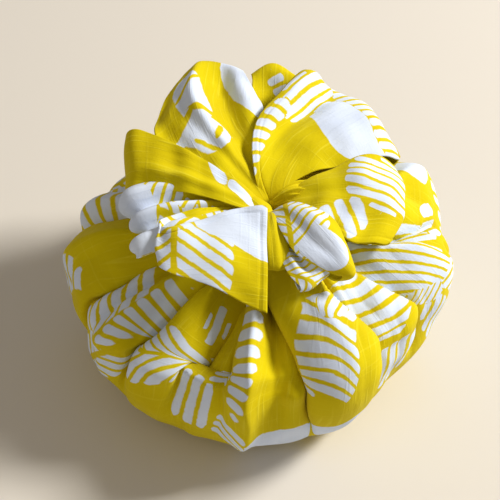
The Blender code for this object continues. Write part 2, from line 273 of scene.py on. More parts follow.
def print_map(places, faces, leaves, around_scale=None, panel=None):
    """Two UV maps for one layer of the print: the leaf's frame at each face corner, its x moved on
    by a whole number that says what fills the halves, and its half length and half width. A face
    takes the leaf with the least (x / half length)^4 + (y / half width)^2. Panels, where given,
    keep a leaf between two deep folds."""
    corners = places[faces]
    scale = None if around_scale is None else around_scale[faces]
    frame_uv = np.full((*faces.shape, 2), BARE_PLACE)
    shape_uv = np.full((*faces.shape, 2), BARE_SIZE)
    least = np.full(len(faces), LEAF_MARGIN)
    home = None if panel is None else panel(corners[:, 0])
    for leaf in leaves:
        here = leaf_frame(corners, leaf, scale)
        half = np.array([leaf.half_length, leaf.half_width]) * STROKE_PITCH / leaf.pitch
        reach = ((here / half) ** OUTLINE_POWERS).sum(axis=-1).min(axis=1)
        mine = reach < least
        if panel is not None:
            mine &= home == panel(np.array([[leaf.across, leaf.along]]))
        frame_uv[mine] = here[mine] + (leaf.left_fill + HALF_FILLS * leaf.right_fill, 0.0)
        shape_uv[mine] = half
        least = np.where(mine, reach, least)
    return frame_uv.reshape(-1, 2), shape_uv.reshape(-1, 2)


def print_maps(places, faces, rows, around_scale=None, panel=None):
    """The UV maps of both layers, by name."""
    maps = {}
    for layer, name in enumerate(LAYER_NAMES):
        leaves = [Leaf(*row) for row in rows if row[0] == layer]
        frame_uv, shape_uv = print_map(places, faces, leaves, around_scale, panel)
        maps[name], maps[name + "_shape"] = frame_uv, shape_uv
    return maps


print("maps of the print:", [*LAYER_NAMES, *(name + "_shape" for name in LAYER_NAMES)])


# %% Grid meshes


def grid_faces(rows, columns, closed):
    """Corner numbers of the quads of a grid, as faces x 4. A closed grid joins its last column
    to its first."""
    last = columns if closed else columns - 1
    row, column = np.meshgrid(np.arange(rows - 1), np.arange(last), indexing="ij")
    beside = (column + 1) % columns
    corners = [row * columns + column, row * columns + beside]
    corners += [(row + 1) * columns + beside, (row + 1) * columns + column]
    return np.stack(corners, axis=-1).reshape(-1, 4)


def mesh_piece(name, points, faces, maps):
    """A mesh object at the origin from points in millimetres, with its named UV maps."""
    mesh = bpy.data.meshes.new(name)
    mesh.vertices.add(len(points))
    mesh.vertices.foreach_set("co", (points * MM).astype(np.float32).ravel())
    mesh.loops.add(faces.size)
    mesh.loops.foreach_set("vertex_index", faces.astype(np.int32).ravel())
    mesh.polygons.add(len(faces))
    sides = faces.shape[1]
    mesh.polygons.foreach_set("loop_start", np.arange(0, faces.size, sides, dtype=np.int32))
    mesh.polygons.foreach_set("loop_total", np.full(len(faces), sides, dtype=np.int32))
    for map_name, uv in maps.items():
        layer = mesh.uv_layers.new(name=map_name)
        layer.data.foreach_set("uv", uv.astype(np.float32).ravel())
    mesh.update()
    mesh.validate()
    mesh.shade_smooth()
    piece = bpy.data.objects.new(name, mesh)
    bpy.context.scene.collection.objects.link(piece)
    return piece


print("faces of a grid of 3 x 3 points:", len(grid_faces(3, 3, closed=False)))


# %% [markdown]
# ## Slub cotton, screen printed
#
# Furoshiki cotton is a plain weave of uneven yarn: every few millimetres a thicker slub runs
# along or across as a lighter line. White is printed over the yellow ground, so its edge
# wanders a little with the threads. The finish is matt with a faint fuzz that lifts the edges,
# which is what a sheen does in the shader. All of it could be painted on an image, but nodes
# stay sharp at any distance and need no file.

# %% Colours and a helper for nodes
YELLOW = "#DACA00"
YELLOW_SLUB = "#E6DA38"
YELLOW_DEEP = "#C6B200"
WHITE_INK = "#DCE8FB"
WHITE_SHADE = "#CCDAF4"

MATH = "ShaderNodeMath"
MIX = "ShaderNodeMix"
VECTOR_MATH = "ShaderNodeVectorMath"
# A Mix node has sockets for each type of data, and they share their names, so a number picks one.
FACTOR, NUMBER_A, NUMBER_B, COLOUR_A, COLOUR_B = 0, 2, 3, 6, 7
MIXED_COLOUR = 2


def linear(hex_colour):
    """An sRGB hex colour as linear light, with alpha 1."""
    channels = np.array([int(hex_colour[i : i + 2], 16) for i in (1, 3, 5)]) / 255
    low, high = channels / 12.92, ((channels + 0.055) / 1.055) ** 2.4
    return (*np.where(channels <= 0.04045, low, high), 1.0)


def add_node(tree, kind, inputs=(), **settings):
    """Adds a node with its settings. Its inputs, in order or by name or number, each take a value,
    a socket, or a node, which stands for its first output."""
    node = tree.nodes.new(kind)
    for key, value in settings.items():
        setattr(node, key, value)
    for key, value in inputs.items() if isinstance(inputs, dict) else enumerate(inputs):
        if isinstance(value, bpy.types.Node):
            value = value.outputs[0]
        if isinstance(value, bpy.types.NodeSocket):
            tree.links.new(value, node.inputs[key])
        else:
            node.inputs[key].default_value = value
    return node


print("yellow in linear light", linear(YELLOW))

# %% [markdown]
# The leaf is worked out in its own frame, x along the rib and y across. With y folded to |y|,
# both halves have the same strokes. A stroke's number is q / pitch rounded, where
# q = x - |y| / tan(lean), and its own length comes from the leaf's outline near its middle, so
# the outline steps from stroke to stroke. The square of the place across the stroke rounds its
# end. A half can also be solid, bare, or crossed by straight bars, as a border is.

# %% The leaf print as nodes
# In metres on a leaf at the standard pitch, parts of the pitch or half width, and degrees.
RIB_HALF_WIDTH = 0.0019
STROKE_SHARE = 0.33
STROKE_LEAN = 52.0
STROKE_END_ROUND = 0.012
STROKE_TIP = 0.6
PRINT_EDGE = 0.0003
FILL_MARGIN = 0.5


def soft_less(tree, value, limit, edge):
    """1 where value is under limit, with a fade from edge inside it to edge outside."""
    gap = add_node(tree, MATH, [limit, value], operation="SUBTRACT")
    return add_node(tree, MATH, [gap, 0.5 / edge, 0.5], operation="MULTIPLY_ADD", use_clamp=True)


def outline_at(tree, place, half_length, half_width):
    """Half width of the leaf at a place along the rib: W * sqrt(1 - (x / L)^4)."""
    part = add_node(tree, MATH, [place, half_length], operation="DIVIDE")
    squared = add_node(tree, MATH, [part, part], operation="MULTIPLY")
    fourth = add_node(tree, MATH, [squared, squared], operation="MULTIPLY")
    left = add_node(tree, MATH, [fourth, -1.0, 1.0], operation="MULTIPLY_ADD", use_clamp=True)
    root = add_node(tree, MATH, [left], operation="SQRT")
    return add_node(tree, MATH, [root, half_width], operation="MULTIPLY")


def strokes(tree, x, side, half_length, half_width, slant):
    """Strokes across one half, numbered by x - |y| * slant. Each is as long as the outline over
    its middle, less round * (place across it)^2."""
    q = add_node(tree, MATH, [side, -slant, x], operation="MULTIPLY_ADD")
    number = add_node(tree, MATH, [q, 1 / STROKE_PITCH], operation="MULTIPLY")
    whole = add_node(tree, MATH, [number], operation="ROUND")
    off = add_node(tree, MATH, [number, whole], operation="SUBTRACT")
    place = add_node(tree, MATH, [off], operation="ABSOLUTE")
    inside = soft_less(tree, place, STROKE_SHARE, PRINT_EDGE / STROKE_PITCH)
    root = add_node(tree, MATH, [whole, STROKE_PITCH], operation="MULTIPLY")
    tip = add_node(tree, MATH, [half_width, STROKE_TIP * slant, root], operation="MULTIPLY_ADD")
    outline = outline_at(tree, tip, half_length, half_width)
    squared = add_node(tree, MATH, [place, place], operation="MULTIPLY")
    reach = add_node(tree, MATH, [squared, -STROKE_END_ROUND, outline], operation="MULTIPLY_ADD")
    within = soft_less(tree, side, reach, PRINT_EDGE)
    return add_node(tree, MATH, [inside, within], operation="MULTIPLY")


def half_fill(tree, kind, y):
    """What fills the half that a place is in, from kind = left + 4 * right."""
    share = add_node(tree, MATH, [kind, 1 / HALF_FILLS], operation="MULTIPLY")
    right = add_node(tree, MATH, [share], operation="FLOOR")
    left = add_node(tree, MATH, [right, -HALF_FILLS, kind], operation="MULTIPLY_ADD")
    on_left = add_node(tree, MATH, [y, 0.0], operation="GREATER_THAN")
    choice = {FACTOR: on_left, NUMBER_A: right, NUMBER_B: left}
    return add_node(tree, MIX, choice, data_type="FLOAT")


def leaf_mask(tree, uv, shape_uv):
    """(ink, cover): 1 where white ink lies in the leaf's own frame, and 1 in its outline."""
    half = add_node(tree, "ShaderNodeSeparateXYZ", [shape_uv]).outputs[:2]
    moved_x, y = add_node(tree, "ShaderNodeSeparateXYZ", [uv]).outputs[:2]
    kind = add_node(tree, MATH, [moved_x], operation="ROUND")
    x = add_node(tree, MATH, [moved_x, kind], operation="SUBTRACT")
    side = add_node(tree, MATH, [y], operation="ABSOLUTE")
    cover = soft_less(tree, side, outline_at(tree, x, *half), PRINT_EDGE)
    on_rib = soft_less(tree, side, RIB_HALF_WIDTH, PRINT_EDGE)
    off_rib = add_node(tree, MATH, [1.0, on_rib], operation="SUBTRACT")
    leaned = strokes(tree, x, side, *half, 1 / np.tan(np.radians(STROKE_LEAN)))
    bars = add_node(tree, MATH, [leaned, off_rib], operation="MULTIPLY")
    crossed = strokes(tree, x, side, *half, 0.0)
    fill = half_fill(tree, kind, y)
    ink = 0.0
    for code, drawn in ((BARS, bars), (CROSS, crossed), (SOLID, 1.0)):
        chosen = add_node(tree, MATH, [fill, float(code), FILL_MARGIN], operation="COMPARE")
        ink = add_node(tree, MATH, [drawn, chosen, ink], operation="MULTIPLY_ADD")
    return add_node(tree, MATH, [ink, cover], operation="MULTIPLY", use_clamp=True), cover


print("a stroke is", 2 * STROKE_SHARE * STROKE_PITCH / MM, "mm wide at the standard pitch")


# %% [markdown]
# Noise stretched along the yarn and cut high gives the slubs. The same noise, stretched less,
# shakes the edge of the ink, clouds both colours and gives the bump its weave and its light
# crumple. The real threads are 0.4 mm apart and too fine for this view, so the weave is drawn
# with patches of 1.25 mm.

# %% Noise in the cotton
# Each row is metres across and along the cloth that a patch of the noise takes, and its detail.
SLUB_DETAIL = 2.0
WEFT_SLUBS = (0.00135, 0.035, SLUB_DETAIL)
WARP_SLUBS = (0.09, 0.002025, SLUB_DETAIL)
SHAKES = (1 / 260, 1 / 260, 2.0)
CLOUDS = (1 / 38, 1 / 38, 3.0)
WEAVE = (0.00125, 0.00125, 2.0)
CRUMPLE = (0.008, 0.03, 3.0)
WEFT_LEVEL, WARP_LEVEL, LEVEL_FADE = 0.58, 0.6, 0.16
WARP_SHARE = 0.5
MIDDLE_GREY = (0.5, 0.5, 0.5)
INK_WANDER = (0.0012, 0.0012, 0.0)


def cloth_noise(tree, uv, across, along, detail):
    """Noise of the place on the cloth divided by a patch's size."""
    sizes = {"Vector": uv, "Scale": (1 / across, 1 / along, 1.0)}
    stretched = add_node(tree, "ShaderNodeMapping", sizes)
    inputs = {"Vector": stretched, "Scale": 1.0, "Detail": detail}
    return add_node(tree, "ShaderNodeTexNoise", inputs, noise_dimensions="2D")


def slub_lines(tree, uv):
    """Thin lines where a thick yarn runs: the noise from 0 at its level to 1 a little above it,
    all of it for the weft and half as strong for the warp."""
    lines = []
    for sizes, level in ((WARP_SLUBS, WARP_LEVEL), (WEFT_SLUBS, WEFT_LEVEL)):
        noise = cloth_noise(tree, uv, *sizes)
        steps = [noise, level, level + LEVEL_FADE, 0.0, 1.0]
        lines.append(add_node(tree, "ShaderNodeMapRange", steps))
    warp, weft = lines
    return add_node(tree, MATH, [warp, WARP_SHARE, weft], operation="MULTIPLY_ADD", use_clamp=True)


def printed_ink(tree, uv):
    """Where white lies: the upper layer's ink inside its leaves and the lower layer's elsewhere.
    Each leaf's frame is shaken a little, as thread shakes the edge of the ink."""
    noise = cloth_noise(tree, uv, *SHAKES).outputs["Color"]
    centred = add_node(tree, VECTOR_MATH, [noise, MIDDLE_GREY], operation="SUBTRACT")
    masks = []
    for name in LAYER_NAMES:
        frame_uv = add_node(tree, "ShaderNodeUVMap", uv_map=name)
        shape_uv = add_node(tree, "ShaderNodeUVMap", uv_map=name + "_shape")
        moved = [centred, INK_WANDER, frame_uv]
        shaken = add_node(tree, VECTOR_MATH, moved, operation="MULTIPLY_ADD")
        masks.append(leaf_mask(tree, shaken, shape_uv))
    (under, _), (over, cover) = masks
    choice = {FACTOR: cover, NUMBER_A: under, NUMBER_B: over}
    return add_node(tree, MIX, choice, data_type="FLOAT")


print("a slub of the weft is about", WEFT_SLUBS[0] / MM, "x", WEFT_SLUBS[1] / MM, "mm")


# %% Printed slub cotton
SLUB_TINT = 0.4
WEAVE_RISE, SLUB_RISE, CRUMPLE_RISE = 0.5, 0.8, 5.0
BUMP = {"Strength": 0.35, "Distance": 0.0004}
COTTON_FINISH = {
    "Roughness": 0.88,
    "Sheen Weight": 0.03,
    "Sheen Roughness": 0.5,
    "Specular IOR Level": 0.14,
}


def cotton_colour(tree, uv, slub):
    """Cloudy yellow, lighter on the slubs, under cloudy white where the ink lies."""
    clouds = cloth_noise(tree, uv, *CLOUDS)
    tint = add_node(tree, MATH, [slub, SLUB_TINT], operation="MULTIPLY")
    grounds = []
    for light, deep in ((YELLOW, YELLOW_DEEP), (WHITE_INK, WHITE_SHADE)):
        choice = {FACTOR: clouds, COLOUR_A: linear(light), COLOUR_B: linear(deep)}
        grounds.append(add_node(tree, MIX, choice, data_type="RGBA").outputs[MIXED_COLOUR])
    ground, white = grounds
    for factor, over in ((tint, linear(YELLOW_SLUB)), (printed_ink(tree, uv), white)):
        choice = {FACTOR: factor, COLOUR_A: ground, COLOUR_B: over}
        ground = add_node(tree, MIX, choice, data_type="RGBA").outputs[MIXED_COLOUR]
    return ground


def cotton_bump(tree, uv, slub):
    """Height = the weave, the slubs and the crumple, each times its rise."""
    weave, crumple = cloth_noise(tree, uv, *WEAVE), cloth_noise(tree, uv, *CRUMPLE)
    height = 0.0
    for pattern, rise in ((weave, WEAVE_RISE), (slub, SLUB_RISE), (crumple, CRUMPLE_RISE)):
        height = add_node(tree, MATH, [pattern, rise, height], operation="MULTIPLY_ADD")
    return add_node(tree, "ShaderNodeBump", {**BUMP, "Height": height})


def printed_slub_cotton():
    """The one material of the cloth. Its colour and bump follow the cloth's own UV maps."""
    material = bpy.data.materials.new("printed slub cotton")
    material.use_nodes = True
    tree = material.node_tree
    shader = tree.nodes["Principled BSDF"]
    uv = add_node(tree, "ShaderNodeUVMap", uv_map="weave")
    slub = slub_lines(tree, uv)
    tree.links.new(cotton_colour(tree, uv, slub), shader.inputs["Base Color"])
    tree.links.new(cotton_bump(tree, uv, slub).outputs[0], shader.inputs["Normal"])
    for socket, value in COTTON_FINISH.items():
        shader.inputs[socket].default_value = value
    return material


COTTON = printed_slub_cotton()
print("nodes in the cotton", len(COTTON.node_tree.nodes))

# %% [markdown]
# ## The bundle
#
# The filled part of the wrap is a turned outline with folds pushed into it. A cloth simulation
# drawn in round a ball gathers by chance, so the folds here are rows of a table instead: each
# runs from the neck, over the crown and down the side. The overhang lets one lip of a fold slide
# over its trough, as real gathers do, which a plain push along the normal can't give.

# %% The bundle's tables
OUTLINE = (
    # reach, height
    (BASE_REACH, 0.0),
    (76.0, 3.0),
    (90.0, 16.0),
    (100.5, 36.0),
    (BELLY_REACH, BELLY_HEIGHT),
    (102.5, 71.0),
    (94.0, 83.0),
    (79.0, 90.5),
    (58.0, 96.5),
    (36.0, 101.0),
    (20.0, NECK_HEIGHT),
    (12.0, NECK_HEIGHT + 3.0),
    (6.0, 104.5),
    (2.0, 102.5),
)

SWELLS = (
    # azimuth, change of reach, spread
    (-142.0, 2.0, 16.0),
    (-112.0, -1.5, 14.0),
    (-40.0, -7.0, 14.0),
    (10.0, 2.5, 12.0),
    (30.0, 6.0, 20.0),
    (110.0, -3.0, 35.0),
)

BUNDLE_FOLDS = (
    # azimuth at the neck, at the belly, depth, spread clockwise, anticlockwise, lowest height,
    # overhang of the anticlockwise lip (negative: of the clockwise lip)
    (-96.0, -93.5, -6.0, 2.6, 2.4, 14.0, 0.0),
    (-88.0, -85.0, 6.5, 6.0, 6.0, 50.0, 0.0),
    (-83.0, -72.0, 10.0, 3.4, 2.6, 16.0, 8.0),
    (-78.0, -66.0, -4.0, 3.0, 8.0, 16.0, 0.0),
    (-72.0, -57.0, -5.0, 6.0, 2.5, 30.0, 0.0),
    (-67.0, -52.0, 10.0, 2.6, 3.4, 16.0, -7.0),
    (-46.0, -33.0, -4.5, 7.0, 2.5, 40.0, 0.0),
    (-41.0, -28.5, 8.0, 3.0, 4.0, 35.0, -6.0),
    (-25.0, -8.0, -4.0, 6.0, 4.0, 35.0, 0.0),
    (-17.0, 8.0, 6.5, 4.0, 4.5, 55.0, 3.0),
    (8.0, 27.0, -3.5, 6.0, 5.0, 30.0, 0.0),
    (24.0, 40.0, 5.0, 5.0, 5.0, 25.0, 3.0),
    (48.0, 55.0, -3.0, 6.0, 5.0, 30.0, 0.0),
    (66.0, 71.0, 5.0, 5.0, 5.0, 25.0, -3.0),
    (84.0, 86.0, -3.0, 6.0, 5.0, 30.0, 0.0),
    (103.0, 102.0, 5.5, 5.0, 5.0, 25.0, 3.0),
    (121.0, 118.0, -3.0, 6.0, 5.0, 30.0, 0.0),
    (138.0, 134.0, 5.0, 5.0, 5.0, 25.0, -3.0),
    (160.0, 151.0, 5.5, 4.0, 3.5, 60.0, 3.0),
    (172.0, 163.0, -4.0, 5.0, 4.0, 30.0, 0.0),
    (179.0, 171.0, 7.0, 3.5, 3.5, 40.0, 5.0),
    (187.0, 182.0, -5.0, 5.0, 8.0, 25.0, 0.0),
    (-166.0, -163.0, 9.5, 2.6, 4.0, 30.0, -7.0),
    (-151.0, -152.0, 3.5, 2.0, 2.4, 60.0, 0.0),
    (-145.0, -145.0, -3.5, 5.0, 2.5, 40.0, 0.0),
    (-138.5, -137.0, 14.0, 2.6, 3.0, 30.0, -6.0),
    (-137.0, -136.0, 5.0, 6.0, 4.0, 62.0, 0.0),
    (-133.0, -132.0, -5.0, 3.0, 7.0, 30.0, 0.0),
    (-122.0, -122.0, 6.5, 6.0, 6.0, 80.0, 0.0),
    (-117.5, -119.0, 11.0, 2.6, 4.0, 40.0, -7.0),
    (-109.0, -110.0, 5.5, 7.0, 7.0, 50.0, 0.0),
    (-101.0, -101.0, 6.5, 5.0, 3.0, 34.0, 4.0),
)
print("folds in the bundle", len(BUNDLE_FOLDS))

# %% How the folds start, turn and end
# A pair is where a fade starts and ends, in millimetres of reach from the neck or of height.
# The foot of a fold starts at a part of its lowest height.
SWELL_FADE = (2.0, 30.0)
FOLDS_LEAVE_NECK = (14.0, 40.0)
FOLDS_TURN = (30.0, 100.0)
FOLD_FOOT_START = 0.4
FOLD_FOOT_LENGTH = 30.0
TROUGHS_DEEPER = 1.35
DEEPER_AT_CROWN = 0.45
CROWN = (60.0, 88.0)
RIDGE_SHARPNESS = 1.6
LIP_PLACE = 1.1
CREASE_ROUND = 0.12
CREASE_SHARP, CREASE_SOFT, CREASE_SOFTER = 0.6, 0.4, 3.0


def crease(off):
    """A sharp fold between two full panels, 1 at off = 0: 0.6 e^-r + 0.4 e^-(r / 3), with r the
    distance, rounded at the very bottom."""
    away = np.sqrt(off**2 + CREASE_ROUND**2) - CREASE_ROUND
    return CREASE_SHARP * np.exp(-away) + CREASE_SOFT * np.exp(-away / CREASE_SOFTER)


def swell_push(azimuth, height):
    """The sum of change * e^-(off / spread)^2 over the swells, faded out at the base."""
    push = np.zeros(azimuth.shape)
    for middle, change, spread in SWELLS:
        push += change * np.exp(-((turn_between(azimuth, middle) / spread) ** 2))
    return push * smooth_step(height, *SWELL_FADE)


def fold_push(azimuth, reach, height, wavering):
    """(push, shift) over all folds: a trough pushes in by depth * crease(off / spread), a ridge
    out by depth * e^-|off / spread|^1.6, and a lip goes round by overhang * e^-(distance from
    the lip / spread)^2."""
    push, shift = np.zeros_like(wavering), np.zeros_like(wavering)
    leaves_neck = smooth_step(reach, *FOLDS_LEAVE_NECK)
    deeper = 1 + DEEPER_AT_CROWN * smooth_step(height, *CROWN)
    for at_neck, at_belly, depth, clockwise, anticlockwise, lowest, overhang in BUNDLE_FOLDS:
        middle = at_neck + turn_between(at_belly, at_neck) * smooth_step(reach, *FOLDS_TURN)
        middle = np.where(height < BELLY_HEIGHT, at_belly, middle)
        off = turn_between(azimuth, middle) + wavering
        spread = np.where(off < 0, clockwise, anticlockwise)
        foot = smooth_step(height, lowest * FOLD_FOOT_START, lowest + FOLD_FOOT_LENGTH)
        strength = leaves_neck * foot * deeper
        if depth > 0:
            push -= TROUGHS_DEEPER * depth * crease(off / spread) * strength
        else:
            push -= depth * np.exp(-(np.abs(off / spread) ** RIDGE_SHARPNESS)) * strength
        lip = np.exp(-(((off - LIP_PLACE * np.sign(overhang) * spread) / spread) ** 2))
        shift -= overhang * lip * strength
    return push, shift


print("a crease at its middle and one spread away:", crease(0.0), crease(1.0))

# %% [markdown]
# Near the neck the cloth is packed into fine gathers, narrow creases run out between the main
# folds, and lower down the cloth has soft dents where it lies on what it holds. These are too
# many to place by hand, so they are drawn at random from ranges, with a fixed seed.

# %% Gathers, small creases and dents
# The fewest and the most waves round the neck.
FINE_GATHERS = (23, 61)
FINE_GATHER_WAVES = 12
FINE_GATHER_SEED = 5
FINE_GATHER_DEPTH = 1.1
FINE_GATHERS_START = (8.0, 16.0)
FINE_GATHERS_END = (40.0, 88.0)
SMALL_CREASES = 34
SMALL_CREASE_SEED = 12
SMALL_CREASES_START = (18.0, 34.0)
SMALL_CREASES_TURN = (30.0, 100.0)
SMALL_CREASE_TAIL = 22.0
SMALL_CREASE_SPANS = (
    # the least and the most of: shift in parts of the space between two, depth, spread and
    # bend in degrees, and the height where it ends
    (-0.4, 0.4),
    (0.6, 2.2),
    (1.5, 3.0),
    (-9.0, 9.0),
    (25.0, 88.0),
)
# Amount, millimetres to a degree, wavelength and seed of two soft noises. The first makes the
# folds waver, in degrees, and the second dents the cloth, in millimetres.
WAVER = (1.2, 1.6, 60.0, 3)
DENTS = (0.7, 1.7, 26.0, 8)
DENTS_FADE = (4.0, 20.0)


def fine_gathers(azimuth, reach):
    """The sum of whole numbers of waves round the neck, so it closes on itself, scaled to 1 and
    faded out towards the side."""
    random = np.random.default_rng(FINE_GATHER_SEED)
    counts = random.integers(*FINE_GATHERS, FINE_GATHER_WAVES)[:, None]
    phases = random.uniform(0, 2 * np.pi, (FINE_GATHER_WAVES, 1))
    waves = np.sin(np.radians(azimuth) * counts + phases).sum(axis=0) / np.sqrt(FINE_GATHER_WAVES)
    fade = smooth_step(reach, *FINE_GATHERS_START) * (1 - smooth_step(reach, *FINE_GATHERS_END))
    return waves * fade


def small_creases(azimuth, reach, height):
    """The narrow creases that run out from the neck between the main folds: the sum of
    depth * crease(off / spread), each faded in past the neck and out at its own end."""
    random = np.random.default_rng(SMALL_CREASE_SEED)
    total = np.zeros(np.broadcast(azimuth, reach).shape)
    for number in range(SMALL_CREASES):
        shift, depth, spread, bend, end = (random.uniform(*span) for span in SMALL_CREASE_SPANS)
        middle = (number + shift) * 360 / SMALL_CREASES
        off = turn_between(azimuth, middle + bend * smooth_step(reach, *SMALL_CREASES_TURN))
        fade = smooth_step(reach, *SMALL_CREASES_START)
        fade = fade * smooth_step(height, end - SMALL_CREASE_TAIL, end)
        total += depth * crease(off / spread) * fade
    return total


def bundle_noise(azimuth, along, amount, per_degree, wavelength, seed):
    """Amount * soft noise over the cloth, with azimuth taken as millimetres round it."""
    return amount * soft_noise(azimuth * per_degree, along, wavelength, seed)


print("small creases:", SMALL_CREASES, "and waves of gathers:", FINE_GATHER_WAVES)

# %% [markdown]
# The skin of the bundle is one grid: rings up the outline, each pushed in and out. The neck
# stands a little off the middle of the base, so the rings lean towards it as they rise.

# %% Make the bundle
BUNDLE_RINGS = 150
BUNDLE_AROUND = 540
LEAST_REACH = 10.0
LEAN_STARTS = 60.0
# A fold this deep parts the print into panels. It turns from its place at the neck to that at
# the belly between these two lengths up the outline.
DEEP_FOLD = 6.6
NECK_ALONG, BELLY_ALONG = 165.0, 100.0
# The weave is laid at its real size where the bundle reaches this far.
WEAVE_REACH = 92.0


def bundle_surface():
    """Point (ring, a) = centre(ring) + (reach + push * out) * (cos a', sin a'), where push sums
    the swells, folds, creases, gathers and dents, and a' is a shifted towards a trough under an
    overhanging lip. Also returns each point's place on the cloth and the millimetres per degree
    at each ring."""
    outline = smooth_rows(OUTLINE, BUNDLE_RINGS)
    run, rise = np.gradient(outline, axis=0).T[..., None]
    length = np.hypot(run, rise)
    out, up = rise / length, -run / length
    along = path_length(outline)[:, None]
    reach, height = outline.T[..., None]
    azimuth = np.linspace(0, 360, BUNDLE_AROUND, endpoint=False)
    push, shift = fold_push(azimuth, reach, height, bundle_noise(azimuth, along, *WAVER))
    push += swell_push(azimuth, height)
    push -= small_creases(azimuth, reach, height)
    push += FINE_GATHER_DEPTH * fine_gathers(azimuth, reach)
    push += bundle_noise(azimuth, along, *DENTS) * smooth_step(height, *DENTS_FADE)
    around_scale = np.radians(1) * np.maximum(reach, LEAST_REACH)
    lean = smooth_step(height, LEAN_STARTS, NECK_HEIGHT)
    angle = np.radians(azimuth + shift / around_scale)
    spoke = reach + push * out
    x = NECK_PLACE[0] * lean + spoke * np.cos(angle)
    y = NECK_PLACE[1] * lean + spoke * np.sin(angle)
    points = np.stack([x, y, np.maximum(height + push * up, 0)], axis=-1)
    places = np.stack(np.broadcast_arrays(azimuth, along), axis=-1)
    return points, places, np.broadcast_to(around_scale, push.shape)


def bundle_panel(places):
    """The number of the panel, between two deep folds, that a place on the bundle is in."""
    count = np.zeros(len(places))
    best = np.full(len(places), 360.0)
    share = smooth_step(places[:, 1], NECK_ALONG, BELLY_ALONG)
    for number, (at_neck, at_belly, depth, *_) in enumerate(BUNDLE_FOLDS):
        if depth < DEEP_FOLD:
            continue
        past = (places[:, 0] - at_neck - turn_between(at_belly, at_neck) * share) % 360
        count = np.where(past < best, number, count)
        best = np.minimum(best, past)
    return count


def make_bundle():
    """The bundle's mesh. Its weave map is (azimuth * millimetres to a degree, millimetres up),
    with the corners of a face kept on the same side of the seam at azimuth 0."""
    points, places, around_scale = bundle_surface()
    places, around_scale = places.reshape(-1, 2), around_scale.reshape(-1)
    faces = grid_faces(BUNDLE_RINGS, BUNDLE_AROUND, closed=True)
    maps = print_maps(places, faces, LEAVES["bundle"], around_scale, bundle_panel)
    corners = places[faces]
    first = corners[:, :1, 0]
    corners[..., 0] = first + turn_between(corners[..., 0], first)
    maps["weave"] = corners.reshape(-1, 2) * (np.radians(1) * WEAVE_REACH * MM, MM)
    return mesh_piece("bundle", points.reshape(-1, 3), faces, maps)


bundle = make_bundle()
print("bundle faces", len(bundle.data.polygons))

# %% [markdown]
# The grid leaves a round hole at the base and a small one at the throat, under the knot. One
# face across each closes the skin, which a padded piece has to be.

# %% Close the base and the throat


def close_ends(piece):
    """Fills each open ring with one face, so that the bundle is one closed skin."""
    mesh = bmesh.new()
    mesh.from_mesh(piece.data)
    open_edges = [edge for edge in mesh.edges if edge.is_boundary]
    bmesh.ops.holes_fill(mesh, edges=open_edges, sides=0)
    bmesh.ops.recalc_face_normals(mesh, faces=mesh.faces)
    mesh.to_mesh(piece.data)
    mesh.free()
    piece.data.shade_smooth()


close_ends(bundle)
print("bundle faces once closed", len(bundle.data.polygons))

# %% [markdown]
# ## The loops and the free corner
#
# Each loop is a strip of cloth given by its sections: how far from the neck, how high, how wide,
# how far it leans and droops. It runs out over the crown, turns over its rim and comes back
# underneath. Fold rows are ridges or troughs along it, placed in parts of its half width. The
# free corner and the knot are strips too, given by their sections' own places.

